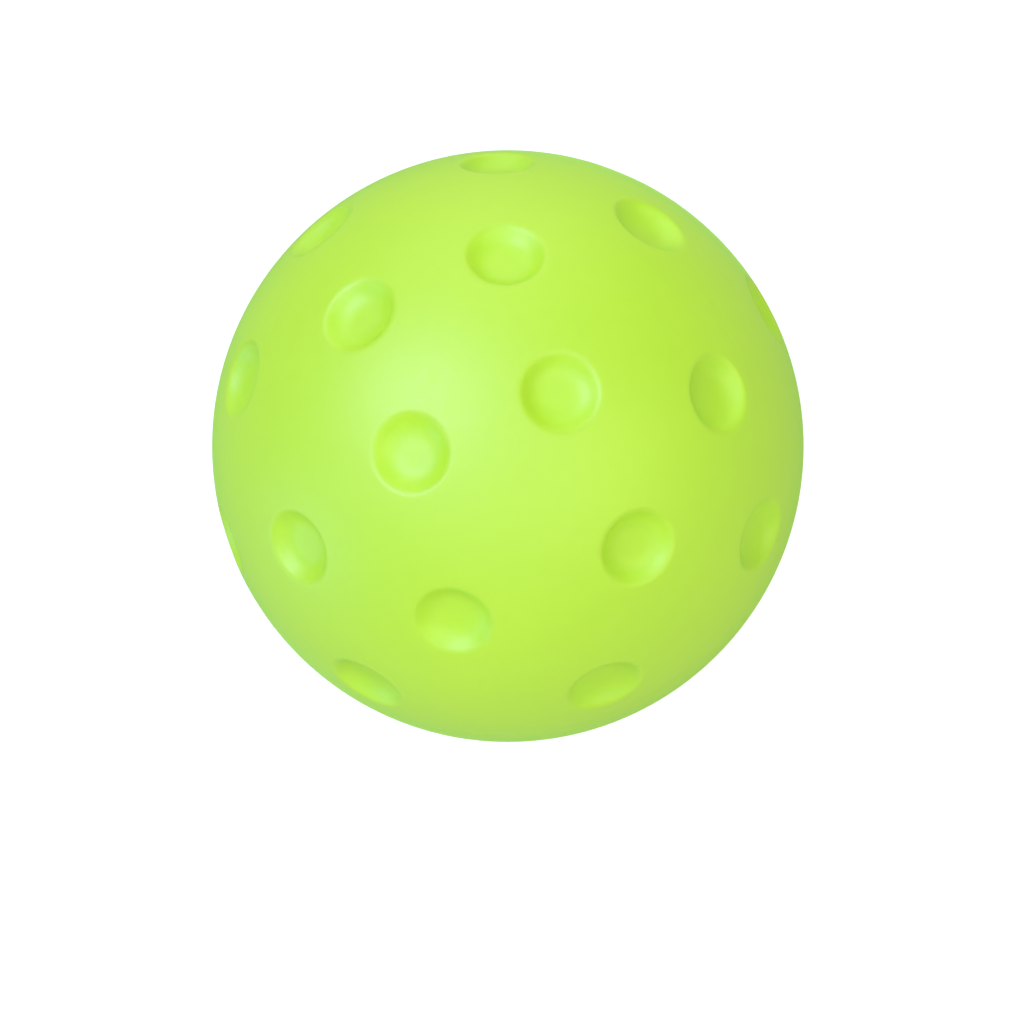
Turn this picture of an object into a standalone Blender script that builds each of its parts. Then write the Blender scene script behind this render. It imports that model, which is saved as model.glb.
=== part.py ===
"""A dimpled foam pickleball: a soft foam core inside a tough skin that is moulded in two halves.

The ball's centre is the origin. +Z is the mould's axis, and the parting line of the skin lies in the
plane z = 0. The lower skin half has the upper one's dimples turned over about the X axis, which sets
them between the upper half's, and drawn a little towards its own pole.
"""

from math import atan2, cos, pi, radians, sin

import bpy

MM = 0.001

# Driving dimensions.
BALL_DIAMETER = 74.0 * MM
SKIN_THICKNESS = 1.2 * MM
PIECE_GAP = 0.3 * MM

# One dimple: a bowl that steepens towards its rim.
DIMPLE_DEPTH = 1.9 * MM
DIMPLE_RADIUS = 4.5 * MM
DIMPLE_POWER = 4.0

# The dimples of the upper half, in degrees: (angle from the pole, turn about the mould's axis).
# Each is repeated at every quarter turn.
DIMPLE_ORBITS = {
    "pole": (20.5, 33.8),
    "shoulder_left": (50.0, 10.8),
    "shoulder_right": (51.0, 53.5),
    "belt_left": (76.7, -10.0),
    "belt_right": (75.7, 32.5),
}
QUARTER_TURNS = 4

# The lower half's angles from its own pole, as a share of the upper half's from the upper pole.
LOWER_DRAW = 0.89

# How finely the round shapes are cut into facets.
SKIN_STEPS = 48
CORE_STEPS = 36
SKIN_DIMPLE_STEPS = 16
CORE_DIMPLE_STEPS = 10
SKIN_WALL_POINTS = (0.32, 0.58, 0.78, 0.95)
CORE_WALL_POINTS = (0.36, 0.68, 0.95)

CUTTER_OVERSHOOT = 0.6 * MM
MERGE_DISTANCE = 0.01 * MM
SHARP_ANGLE = radians(25)

# Finishes: colours are linear red, green, blue and alpha.
UPPER_SKIN_COLOUR = (0.54, 0.94, 0.03, 1.0)
LOWER_SKIN_COLOUR = (0.525, 0.92, 0.024, 1.0)
FOAM_COLOUR = (0.72, 0.80, 0.42, 1.0)
SKIN_ROUGHNESS = 0.47
FOAM_ROUGHNESS = 0.9

BALL_RADIUS = BALL_DIAMETER / 2
CAVITY_INSET = SKIN_THICKNESS
CORE_INSET = SKIN_THICKNESS + PIECE_GAP


def clear_scene():
    for obj in list(bpy.data.objects):
        bpy.data.objects.remove(obj, do_unlink=True)


def new_collection(name):
    collection = bpy.data.collections.new(name)
    bpy.context.scene.collection.children.link(collection)
    return collection


def new_material(name, colour, roughness):
    material = bpy.data.materials.new(name)
    material.use_nodes = True
    shader = material.node_tree.nodes["Principled BSDF"]
    shader.inputs["Base Color"].default_value = colour
    shader.inputs["Roughness"].default_value = roughness
    shader.inputs["Metallic"].default_value = 0.0
    material.diffuse_color = colour
    return material


def turned_object(name, outline, steps, collection):
    """A solid of revolution about Z. The outline is (radius, height) points, from top to bottom."""
    mesh = bpy.data.meshes.new(name)
    points = [(radius, 0.0, height) for radius, height in outline]
    edges = [(i, i + 1) for i in range(len(points) - 1)]
    mesh.from_pydata(points, edges, [])
    obj = bpy.data.objects.new(name, mesh)
    collection.objects.link(obj)
    screw = obj.modifiers.new("turn", "SCREW")
    screw.axis = "Z"
    screw.angle = 2 * pi
    screw.steps = steps
    screw.render_steps = steps
    screw.use_merge_vertices = True
    screw.merge_threshold = MERGE_DISTANCE
    return obj


def ball_arc(radius, start, end, count):
    """Points on a circle about the origin, with angles from the pole in radians."""
    angles = [start + (end - start) * i / count for i in range(count + 1)]
    return [(radius * sin(angle), radius * cos(angle)) for angle in angles]


def evaluated_mesh(obj, name):
    """The object's mesh with its modifiers applied."""
    bpy.context.view_layer.update()
    graph = bpy.context.evaluated_depsgraph_get()
    mesh = bpy.data.meshes.new_from_object(obj.evaluated_get(graph))
    mesh.name = name
    return mesh


def hide_cutter(obj):
    obj.hide_render = True
    obj.display_type = "WIRE"


def bowl_point(share, inset):
    """A point of the bowl at a share of its radius, moved into the ball by inset along the normal."""
    depth = DIMPLE_DEPTH * (1 - share ** DIMPLE_POWER)
    slope = atan2(DIMPLE_DEPTH * DIMPLE_POWER * share ** (DIMPLE_POWER - 1), DIMPLE_RADIUS)
    radius = DIMPLE_RADIUS * share
    height = BALL_RADIUS - depth - radius * radius / (2 * BALL_RADIUS)
    return radius + inset * sin(slope), height - inset * cos(slope)


def dimple_outline(shares, inset):
    """Half the section of a dimple's cutter, from above the ball down the wall to the floor."""
    wall = [bowl_point(share, inset) for share in shares]
    (low_radius, low_height), (high_radius, high_height) = wall[-2:]
    top_height = BALL_RADIUS - inset + CUTTER_OVERSHOOT
    lean = (high_radius - low_radius) / (high_height - low_height)
    top_radius = high_radius + lean * (top_height - high_height)
    return [(0.0, top_height), (top_radius, top_height), *reversed(wall), bowl_point(0.0, inset)]


def dimple_places(draw):
    """(angle from the pole, turn about Z) of each dimple of a half above z = 0, in radians."""
    for polar, azimuth in DIMPLE_ORBITS.values():
        for quarter in range(QUARTER_TURNS):
            turn = azimuth + 360 / QUARTER_TURNS * quarter
            yield radians(draw * polar), radians(turn)


def dimple_cutters(name, shares, inset, steps, places):
    """A collection with a cutter at each of the places."""
    collection = new_collection(name)
    pattern = turned_object(name, dimple_outline(shares, inset), steps, collection)
    mesh = evaluated_mesh(pattern, name)
    bpy.data.objects.remove(pattern, do_unlink=True)
    for polar, turn in places:
        cutter = bpy.data.objects.new(name, mesh)
        cutter.rotation_euler = (0.0, polar, turn)
        collection.objects.link(cutter)
        hide_cutter(cutter)
    return collection


def cut_by_collection(obj, cutters):
    cut = obj.modifiers.new("dimples", "BOOLEAN")
    cut.operation = "DIFFERENCE"
    cut.solver = "EXACT"
    cut.operand_type = "COLLECTION"
    cut.collection = cutters


def cut_by_object(obj, cutter):
    cut = obj.modifiers.new("cavity", "BOOLEAN")
    cut.operation = "DIFFERENCE"
    cut.solver = "EXACT"
    cut.object = cutter


def finish(obj, material):
    obj.data.materials.clear()
    obj.data.materials.append(material)
    obj.data.shade_smooth()
    obj.data.set_sharp_from_angle(angle=SHARP_ANGLE)


def make_skin_half(name, draw, cutters):
    """A half of the skin above z = 0: a dimpled dome with a cavity that follows it at skin thickness."""
    places = list(dimple_places(draw))
    skin_cuts = dimple_cutters(f"{name}_dimples", SKIN_WALL_POINTS, 0.0, SKIN_DIMPLE_STEPS, places)
    cavity_cuts = dimple_cutters(
        f"{name}_cavity_dimples", CORE_WALL_POINTS, CAVITY_INSET, CORE_DIMPLE_STEPS, places
    )

    cavity_outline = ball_arc(BALL_RADIUS - CAVITY_INSET, 0, pi, CORE_STEPS // 2)
    cavity = turned_object(f"{name}_cavity", cavity_outline, CORE_STEPS, cutters)
    cut_by_collection(cavity, cavity_cuts)
    hide_cutter(cavity)

    edge_angle = pi / 2 - atan2(PIECE_GAP / 2, BALL_RADIUS)
    dome_outline = ball_arc(BALL_RADIUS, 0, edge_angle, SKIN_STEPS // 4)
    dome_outline.append((0.0, dome_outline[-1][1]))
    dome = turned_object(f"{name}_dome", dome_outline, SKIN_STEPS, cutters)
    cut_by_collection(dome, skin_cuts)
    cut_by_object(dome, cavity)
    hide_cutter(dome)
    return bpy.data.objects.new(name, evaluated_mesh(dome, name))


def make_skin(ball, cutters):
    upper = make_skin_half("skin_upper_half", 1.0, cutters)
    ball.objects.link(upper)
    finish(upper, new_material("upper skin", UPPER_SKIN_COLOUR, SKIN_ROUGHNESS))

    lower = make_skin_half("skin_lower_half", LOWER_DRAW, cutters)
    lower.rotation_euler = (pi, 0.0, 0.0)
    ball.objects.link(lower)
    finish(lower, new_material("lower skin", LOWER_SKIN_COLOUR, SKIN_ROUGHNESS))


def make_core(ball):
    """The foam ball inside, dimpled wherever the skin dips into it."""
    places = list(dimple_places(1.0))
    places += [(pi - polar, -turn) for polar, turn in dimple_places(LOWER_DRAW)]
    core_cuts = dimple_cutters(
        "core_dimples", CORE_WALL_POINTS, CORE_INSET, CORE_DIMPLE_STEPS, places
    )
    outline = ball_arc(BALL_RADIUS - CORE_INSET, 0, pi, CORE_STEPS // 2)
    core = turned_object("foam_core", outline, CORE_STEPS, ball)
    cut_by_collection(core, core_cuts)
    finish(core, new_material("core foam", FOAM_COLOUR, FOAM_ROUGHNESS))


def main():
    clear_scene()
    ball = new_collection("pickleball")
    cutters = new_collection("cutters")
    make_core(ball)
    make_skin(ball, cutters)


main()
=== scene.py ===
"""The looks of a dimpled foam pickleball: its skin in two halves over a foam core, on a pale studio floor.

Lengths are in metres. The ball's centre is the origin and +Z is the mould's axis.
"""

from math import asin, cos, pi, radians, sin, tan

import bpy
import numpy as np
from mathutils import Matrix, Vector


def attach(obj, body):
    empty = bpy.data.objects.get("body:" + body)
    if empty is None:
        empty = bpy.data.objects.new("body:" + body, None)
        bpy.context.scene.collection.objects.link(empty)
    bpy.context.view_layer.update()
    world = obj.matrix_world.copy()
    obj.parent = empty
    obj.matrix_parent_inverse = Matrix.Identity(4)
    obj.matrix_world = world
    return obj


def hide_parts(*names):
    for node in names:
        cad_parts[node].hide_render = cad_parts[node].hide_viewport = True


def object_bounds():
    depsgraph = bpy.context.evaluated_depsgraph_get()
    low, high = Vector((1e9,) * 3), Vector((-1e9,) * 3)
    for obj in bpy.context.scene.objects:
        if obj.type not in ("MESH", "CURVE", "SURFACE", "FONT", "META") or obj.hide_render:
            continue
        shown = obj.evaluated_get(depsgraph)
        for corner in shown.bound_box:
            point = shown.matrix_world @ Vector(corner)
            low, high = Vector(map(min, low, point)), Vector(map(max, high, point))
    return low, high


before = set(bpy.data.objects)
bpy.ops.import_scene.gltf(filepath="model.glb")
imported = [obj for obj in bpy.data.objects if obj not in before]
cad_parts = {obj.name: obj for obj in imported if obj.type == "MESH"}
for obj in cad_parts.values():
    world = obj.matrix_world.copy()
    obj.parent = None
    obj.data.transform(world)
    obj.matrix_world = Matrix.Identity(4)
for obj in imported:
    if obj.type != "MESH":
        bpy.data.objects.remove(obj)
CAD_LOW, CAD_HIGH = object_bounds()

MM = 0.001
BALL_RADIUS = (CAD_HIGH.z - CAD_LOW.z) / 2

# The skin, and one dimple: a bowl that steepens towards its rim, and a softly rounded rim.
SKIN_THICKNESS = 1.2 * MM
BOND_GAP = 0.08 * MM
DIMPLE_DEPTH = 1.9 * MM
DIMPLE_RADIUS = 4.5 * MM
DIMPLE_POWER = 4.0
RIM_SOFTNESS = 0.55 * MM

# The dimples of the upper half, in degrees: (angle from the pole, turn about the mould's axis).
# Each is repeated at every quarter turn. The lower half has them turned over about X, with the
# angles from its own pole drawn in by LOWER_DRAW.
DIMPLE_ORBITS = ((20.5, 33.8), (50.0, 10.8), (51.0, 53.5), (76.7, -10.0), (75.7, 32.5))
QUARTER_TURNS = 4
LOWER_DRAW = 0.89

# The parting line, where the two halves of the skin are fused.
SEAM_HALF_WIDTH = 0.12 * MM
SEAM_DEPTH = 0.012 * MM

# Points closer than this many decimal places, as shares of the radius, are one point.
SAME_POINT_DIGITS = 7

# How finely the surfaces are cut, in steps across a quarter of the ball.
SKIN_STEPS = 160
LINING_STEPS = SKIN_STEPS // 2
CORE_STEPS = 96

# The camera: the photograph's direction, roll and distance, and the ball's place in the picture.
VIEW_AZIMUTH = radians(-5.2)
VIEW_ELEVATION = radians(69.5)
VIEW_ROLL = radians(-27.7)
VIEW_DISTANCE = 9.0 * BALL_RADIUS
BALL_SHARE = 0.5776
BALL_OFFSET = (-0.0040, 0.0636)
SENSOR_WIDTH = 36.0

# The studio. The floor glows white to the camera, as a lit backdrop does, and far less on the ball.
FLOOR_RADIUS = 3.0
FLOOR_POINTS = 96
FLOOR_GREY = 0.30
FLOOR_GLOW = 0.88
FLOOR_GLOW_CAST = 0.20
WORLD_STRENGTH = 0.30

# Soft round lights: (name, angle from the camera's axis and turn round it from the picture's right,
# half the angle that the light fills, brightness as the share of a white card's, colour). The angles
# are in degrees.
LIGHT_DISTANCE = 0.75
LIGHTS = (
    ("key", 37, 151, 19, 0.315, (0.96, 1.0, 1.85)),
    ("wide_front", 10, 250, 40, 0.210, (1.0, 1.0, 1.45)),
    ("wide_top", 80, 96, 30, 0.205, (1.00, 1.0, 0.90)),
    ("right", 40, 346, 26, 0.205, (1.05, 1.0, 0.45)),
    ("low", 78, 268, 20, 0.175, (1.05, 1.0, 0.30)),
    ("left_rim", 88, 206, 12, 0.085, (0.3, 1.0, 2.2)),
)

# Colours, as linear red, green and blue. Each material is a mottle of two of them.
SKIN_LIGHT = (0.565, 0.94, 0.018)
SKIN_DEEP = (0.550, 0.92, 0.014)
FOAM_LIGHT = (0.72, 0.80, 0.40)
FOAM_DEEP = (0.55, 0.66, 0.24)
# The foam's third colour is painted shade: a darker green laid into the pits of the foam's cells.
FOAM_PIT_SHADE = (0.42, 0.50, 0.16)

# The sizes of the grain.
SKIN_CLOUD_SIZE = 16 * MM
SKIN_MOTTLE_SIZE = 1.6 * MM
SKIN_SWELL_SIZE = 2.4 * MM
SKIN_GRAIN_SIZE = 0.35 * MM
SKIN_RELIEF = 0.010 * MM
SKIN_SCATTER = 0.5 * MM
FOAM_CLOUD_SIZE = 9 * MM
FOAM_CELL_SIZE = 0.55 * MM
FOAM_RELIEF = 0.12 * MM
FLOOR_GRAIN_SIZE = 60 * MM

# The roughness of each finish, from its smoothest to its roughest places.
SKIN_ROUGHNESS = (0.49, 0.55)
FOAM_ROUGHNESS = (0.82, 0.95)
FLOOR_ROUGHNESS = 0.7


def dimple_directions():
    """Unit vectors from the ball's centre through each dimple, both halves."""
    found = []
    for polar, azimuth in DIMPLE_ORBITS:
        for quarter in range(QUARTER_TURNS):
            turn = radians(azimuth + 360 / QUARTER_TURNS * quarter)
            up = radians(polar)
            low = radians(LOWER_DRAW * polar)
            found.append((sin(up) * cos(turn), sin(up) * sin(turn), cos(up)))
            found.append((sin(low) * cos(turn), -sin(low) * sin(turn), -cos(low)))
    return np.array(found)


DIMPLES = dimple_directions()


def dimple_depth(directions):
    """How far the dimples press the surface in, in each direction."""
    nearest = np.clip((directions @ DIMPLES.T).max(axis=1), -1.0, 1.0)
    reach = BALL_RADIUS * np.arccos(nearest)
    bowl = DIMPLE_DEPTH * (1 - (reach / DIMPLE_RADIUS) ** DIMPLE_POWER)
    rounded = (np.clip(bowl, -RIM_SOFTNESS, RIM_SOFTNESS) + RIM_SOFTNESS) ** 2 / (4 * RIM_SOFTNESS)
    return np.where(bowl > RIM_SOFTNESS, bowl, rounded)


def shared_points(points):
    """The first of each set of equal points, and each point's place among those."""
    rounded = np.round(points, SAME_POINT_DIGITS)
    _, first, back = np.unique(rounded, axis=0, return_index=True, return_inverse=True)
    return first, back.reshape(-1)


def dome_grid(steps, first_row=None):
    """Directions and quads of a half ball, from half a cube blown up to a sphere.

    first_row adds a narrow row of quads above the edge, at that share of the way up the sides.
    """
    across = np.tan(np.linspace(-pi / 4, pi / 4, steps + 1))
    up = np.tan(np.linspace(0, pi / 4, steps // 2 + 1))
    if first_row:
        up = np.concatenate([up[:1], [first_row], up[1:]])
    u, v = np.meshgrid(across, across, indexing="ij")
    s, t = np.meshgrid(across, up, indexing="ij")
    one = np.ones_like(s)
    sheets = [(u, v, np.ones_like(u)), (s, -one, t), (one, s, t), (-s, one, t), (-one, -s, t)]
    points = []
    quads = []
    offset = 0
    for x, y, z in sheets:
        rows, columns = x.shape
        index = offset + np.arange(rows * columns).reshape(rows, columns)
        corners = (index[:-1, :-1], index[1:, :-1], index[1:, 1:], index[:-1, 1:])
        quads.append(np.stack([c.ravel() for c in corners], axis=1))
        points.append(np.stack([x.ravel(), y.ravel(), z.ravel()], axis=1))
        offset += rows * columns
    points = np.concatenate(points)
    points /= np.linalg.norm(points, axis=1, keepdims=True)
    first, back = shared_points(points)
    return points[first], back[np.concatenate(quads)]


def edge_ring(directions):
    """The grid's points on the plane z = 0, in order round the ball."""
    ring = np.flatnonzero(np.abs(directions[:, 2]) < 1e-6)
    turn = np.arctan2(directions[ring, 1], directions[ring, 0])
    return ring[np.argsort(turn)]


def mesh_object(name, points, faces, material):
    mesh = bpy.data.meshes.new(name)
    mesh.from_pydata(points.tolist(), [], [[int(i) for i in f] for f in faces])
    mesh.validate()
    mesh.shade_smooth()
    obj = bpy.data.objects.new(name, mesh)
    bpy.context.scene.collection.objects.link(obj)
    mesh.materials.append(material)
    return obj


def skin_half(name, material, turned_over):
    """A dimpled dome of skin with its lining: one closed body that ends at the parting line."""
    first_row = SEAM_HALF_WIDTH / BALL_RADIUS
    outer, outer_quads = dome_grid(SKIN_STEPS, first_row)
    inner, inner_quads = dome_grid(LINING_STEPS)
    outer_ring = edge_ring(outer)
    inner_ring = edge_ring(inner)
    if turned_over:
        outer = outer * (1, -1, -1)
        inner = inner * (1, -1, -1)

    height = BALL_RADIUS - dimple_depth(outer)
    height[outer_ring] -= SEAM_DEPTH
    lining = BALL_RADIUS - SKIN_THICKNESS - dimple_depth(inner)
    points = np.concatenate([outer * height[:, None], inner * lining[:, None]])

    faces = outer_quads.tolist()
    faces += (inner_quads[:, ::-1] + len(outer)).tolist()
    step = len(outer_ring) // len(inner_ring)
    for i, point in enumerate(inner_ring):
        this_point = point + len(outer)
        next_point = inner_ring[(i + 1) % len(inner_ring)] + len(outer)
        rim = [outer_ring[(i * step + k) % len(outer_ring)] for k in range(step + 1)]
        faces.append([this_point, next_point, *reversed(rim)])
    return mesh_object(name, points, faces, material)


def foam_ball(name, material):
    """The foam core, dimpled under each dimple of the skin."""
    dome, quads = dome_grid(CORE_STEPS)
    whole = np.concatenate([dome, dome * (1, -1, -1)])
    faces = np.concatenate([quads, quads + len(dome)])
    first, back = shared_points(whole)
    directions = whole[first]
    height = BALL_RADIUS - SKIN_THICKNESS - BOND_GAP - dimple_depth(directions)
    return mesh_object(name, directions * height[:, None], back[faces], material)


class Nodes:
    """A material's node tree, with short calls to add nodes and links."""

    def __init__(self, name):
        self.material = bpy.data.materials.new(name)
        self.material.use_nodes = True
        self.tree = self.material.node_tree
        self.shader = self.tree.nodes["Principled BSDF"]

    def add(self, kind, **settings):
        node = self.tree.nodes.new(kind)
        for key, value in settings.items():
            if hasattr(node, key):
                setattr(node, key, value)
            else:
                node.inputs[key.replace("_", " ").title()].default_value = value
        return node

    def link(self, source, target):
        self.tree.links.new(source, target)

    def place(self):
        """Object coordinates in metres."""
        return self.add("ShaderNodeTexCoord").outputs["Object"]

    def noise(self, place, size, detail=2.0, rough=0.5):
        """Noise whose features are about size across."""
        node = self.add("ShaderNodeTexNoise", detail=detail, roughness=rough)
        node.inputs["Scale"].default_value = 1 / size
        self.link(place, node.inputs["Vector"])
        return node.outputs["Fac"]

    def cells(self, place, size):
        """The distance from the middle of round cells that are about size across."""
        node = self.add("ShaderNodeTexVoronoi")
        node.inputs["Scale"].default_value = 1 / size
        self.link(place, node.inputs["Vector"])
        return node.outputs["Distance"]

    def spread(self, value, low, high, to_low, to_high, smooth=False):
        """The value moved from one range to another, and held at its ends."""
        node = self.add("ShaderNodeMapRange")
        if smooth:
            node.interpolation_type = "SMOOTHSTEP"
        for socket, number in zip(node.inputs[1:5], (low, high, to_low, to_high)):
            socket.default_value = number
        self.link(value, node.inputs[0])
        return node.outputs[0]

    def maths(self, operation, a, b):
        node = self.add("ShaderNodeMath", operation=operation)
        for socket, value in zip(node.inputs, (a, b)):
            if isinstance(value, (int, float)):
                socket.default_value = value
            else:
                self.link(value, socket)
        return node.outputs[0]

    def mix(self, share, a, b):
        node = self.add("ShaderNodeMix", data_type="RGBA")
        self.link(share, node.inputs[0])
        for socket, value in zip(node.inputs[6:8], (a, b)):
            if isinstance(value, tuple):
                socket.default_value = (*value, 1.0)
            else:
                self.link(value, socket)
        return node.outputs[2]

    def bump(self, height, distance):
        """A bump whose height of 0 to 1 stands for that distance in metres."""
        node = self.add("ShaderNodeBump")
        node.inputs["Strength"].default_value = 1.0
        node.inputs["Distance"].default_value = distance
        self.link(height, node.inputs["Height"])
        self.link(node.outputs[0], self.shader.inputs["Normal"])


def skin_material(name):
    """Satin moulded polyurethane skin: neon green, slightly translucent, with a fine moulded grain."""
    n = Nodes(name)
    place = n.place()

    clouds = n.noise(place, SKIN_CLOUD_SIZE, detail=3.0)
    mottle = n.noise(place, SKIN_MOTTLE_SIZE, detail=4.0)
    tone = n.maths("ADD", n.maths("MULTIPLY", clouds, 0.6), n.maths("MULTIPLY", mottle, 0.4))
    skin = n.mix(n.spread(tone, 0.36, 0.64, 0.0, 1.0), SKIN_DEEP, SKIN_LIGHT)
    n.link(skin, n.shader.inputs["Base Color"])
    n.link(n.spread(mottle, 0.3, 0.7, *SKIN_ROUGHNESS), n.shader.inputs["Roughness"])

    grain = n.noise(place, SKIN_GRAIN_SIZE, detail=3.0, rough=0.6)
    swell = n.noise(place, SKIN_SWELL_SIZE, detail=1.0)
    relief = n.maths("ADD", n.maths("MULTIPLY", grain, 0.35), swell)
    n.bump(relief, SKIN_RELIEF)

    s = n.shader.inputs
    s["Diffuse Roughness"].default_value = 0.4
    s["IOR"].default_value = 1.6
    s["Specular IOR Level"].default_value = 0.95
    s["Subsurface Weight"].default_value = 0.1
    s["Subsurface Radius"].default_value = (0.9, 1.0, 0.25)
    s["Subsurface Scale"].default_value = SKIN_SCATTER
    s["Sheen Weight"].default_value = 0.55
    s["Sheen Roughness"].default_value = 0.3
    s["Sheen Tint"].default_value = (0.3, 1.0, 0.15, 1.0)
    return n.material


def foam_material(name):
    """Soft closed-cell foam: pale yellow-green, matte, with small round cells, and painted shade darkening
    each cell's pit.
    """
    n = Nodes(name)
    place = n.place()
    clouds = n.noise(place, FOAM_CLOUD_SIZE, detail=3.0)
    foam = n.mix(n.spread(clouds, 0.35, 0.65, 0.0, 1.0), FOAM_DEEP, FOAM_LIGHT)
    cells = n.cells(place, FOAM_CELL_SIZE)
    walls = n.spread(cells, 0.15, 0.75, 0.0, 1.0, smooth=True)
    # Painted shade: each cell's middle, where the bump sinks into a pit, is mixed towards the darker
    # green.
    foam = n.mix(n.maths("MULTIPLY", walls, 0.45), FOAM_PIT_SHADE, foam)
    n.link(foam, n.shader.inputs["Base Color"])
    n.link(n.spread(clouds, 0.3, 0.7, *FOAM_ROUGHNESS), n.shader.inputs["Roughness"])
    n.bump(walls, FOAM_RELIEF)
    return n.material


def floor_material(name):
    """A plain pale studio floor: it glows at one strength to the camera and another on the ball."""
    n = Nodes(name)
    place = n.place()
    grain = n.noise(place, FLOOR_GRAIN_SIZE)
    n.link(n.mix(grain, (FLOOR_GREY,) * 3, (FLOOR_GREY + 0.01,) * 3), n.shader.inputs["Base Color"])
    n.shader.inputs["Roughness"].default_value = FLOOR_ROUGHNESS
    n.shader.inputs["Emission Color"].default_value = (1.0, 1.0, 1.0, 1.0)
    seen = n.add("ShaderNodeLightPath").outputs["Is Camera Ray"]
    glow = n.spread(seen, 0.0, 1.0, FLOOR_GLOW_CAST, FLOOR_GLOW)
    n.link(glow, n.shader.inputs["Emission Strength"])
    return n.material


def view_axes():
    """The picture's right and up, and the way back to the camera, in the row frame."""
    back = Vector((
        sin(VIEW_AZIMUTH) * cos(VIEW_ELEVATION),
        -cos(VIEW_AZIMUTH) * cos(VIEW_ELEVATION),
        sin(VIEW_ELEVATION),
    ))
    return back.to_track_quat("Z", "Y").to_matrix() @ Matrix.Rotation(VIEW_ROLL, 3, "Z")


def make_camera():
    data = bpy.data.cameras.new("camera")
    half_view = tan(asin(BALL_RADIUS / VIEW_DISTANCE)) / BALL_SHARE
    data.sensor_width = SENSOR_WIDTH
    data.lens = SENSOR_WIDTH / 2 / half_view
    data.clip_start = BALL_RADIUS
    camera = bpy.data.objects.new("camera", data)
    bpy.context.scene.collection.objects.link(camera)
    axes = view_axes()
    ball_at = Vector((BALL_OFFSET[0] * 2 * half_view, BALL_OFFSET[1] * 2 * half_view, -1.0))
    aim = ball_at.normalized().rotation_difference(Vector((0.0, 0.0, -1.0))).to_matrix()
    camera.matrix_world = Matrix.Translation(axes.col[2] * VIEW_DISTANCE) @ (axes @ aim).to_4x4()
    bpy.context.scene.camera = camera


def make_lights():
    axes = view_axes()
    for name, tilt_degrees, turn_degrees, spread_degrees, brightness, colour in LIGHTS:
        tilt = radians(tilt_degrees)
        turn = radians(turn_degrees)
        spread = radians(spread_degrees)
        radius = LIGHT_DISTANCE * tan(spread)
        radiance = brightness / sin(spread) ** 2
        data = bpy.data.lights.new(name, "AREA")
        data.shape = "DISK"
        data.size = 2 * radius
        data.energy = radiance * (pi * radius) ** 2
        data.color = colour
        lamp = bpy.data.objects.new(name, data)
        bpy.context.scene.collection.objects.link(lamp)
        lamp.visible_camera = False
        way = axes @ Vector((sin(tilt) * cos(turn), sin(tilt) * sin(turn), cos(tilt)))
        lamp.location = way * LIGHT_DISTANCE
        lamp.rotation_mode = "QUATERNION"
        lamp.rotation_quaternion = way.to_track_quat("Z", "Y")


def make_world():
    world = bpy.data.worlds.new("studio")
    world.use_nodes = True
    background = world.node_tree.nodes["Background"]
    background.inputs["Color"].default_value = (1.0, 1.0, 1.0, 1.0)
    background.inputs["Strength"].default_value = WORLD_STRENGTH
    bpy.context.scene.world = world


def make_floor():
    turns = np.arange(FLOOR_POINTS) * 2 * pi / FLOOR_POINTS
    rim = np.stack([np.cos(turns), np.sin(turns), 0 * turns], axis=1) * FLOOR_RADIUS
    rim[:, 2] = CAD_LOW.z
    floor = mesh_object("studio_floor", rim, [list(range(FLOOR_POINTS))], floor_material("floor"))


upper = skin_half("upper_skin", skin_material("upper_skin"), False)
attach(upper, "root")
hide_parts("skin_upper_half")

lower = skin_half("lower_skin", skin_material("lower_skin"), True)
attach(lower, "root")
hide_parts("skin_lower_half")

core = foam_ball("foam_ball", foam_material("foam"))
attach(core, "root")
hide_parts("foam_core")

make_world()
make_lights()
make_floor()
make_camera()
bpy.context.scene.view_settings.view_transform = "Standard"
